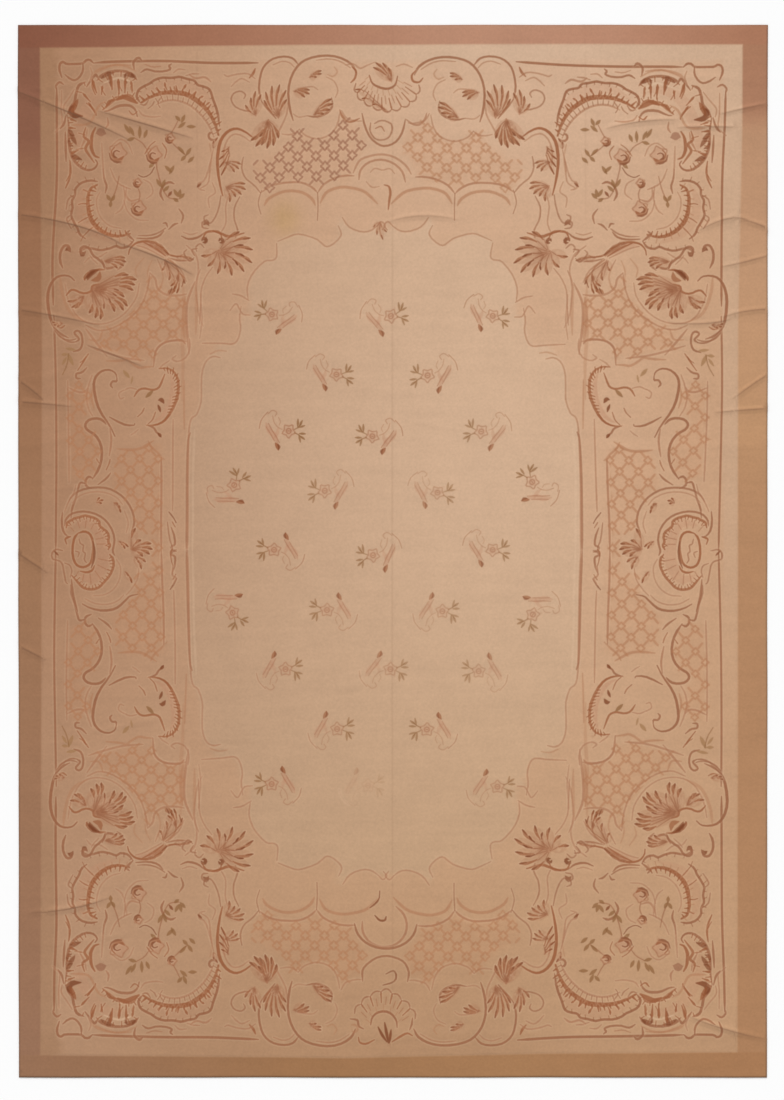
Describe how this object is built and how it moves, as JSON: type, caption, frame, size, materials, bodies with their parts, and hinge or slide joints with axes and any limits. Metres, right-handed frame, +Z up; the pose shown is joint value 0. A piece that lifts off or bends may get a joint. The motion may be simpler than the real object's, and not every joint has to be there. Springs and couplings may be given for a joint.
{
  "type": "aubusson rug",
  "caption": "Room-size flat-woven tapestry rug lying open on the floor, with a plain band, scrollwork border and sprigged field, creased by folding.",
  "frame": {"origin": "on the floor, under the middle of the rug", "axes": "+X across the rug, +Y along it towards the end with the rosy band, +Z up from the floor"},
  "size_m": [3.05, 4.28, 0.009],
  "materials": {
    "wool_tapestry": "matte flat-woven wool in faded beige, tan and rosy brown"
  },
  "bodies": {
    "root": {"rug": "wool_tapestry"}
  },
  "joints": []
}
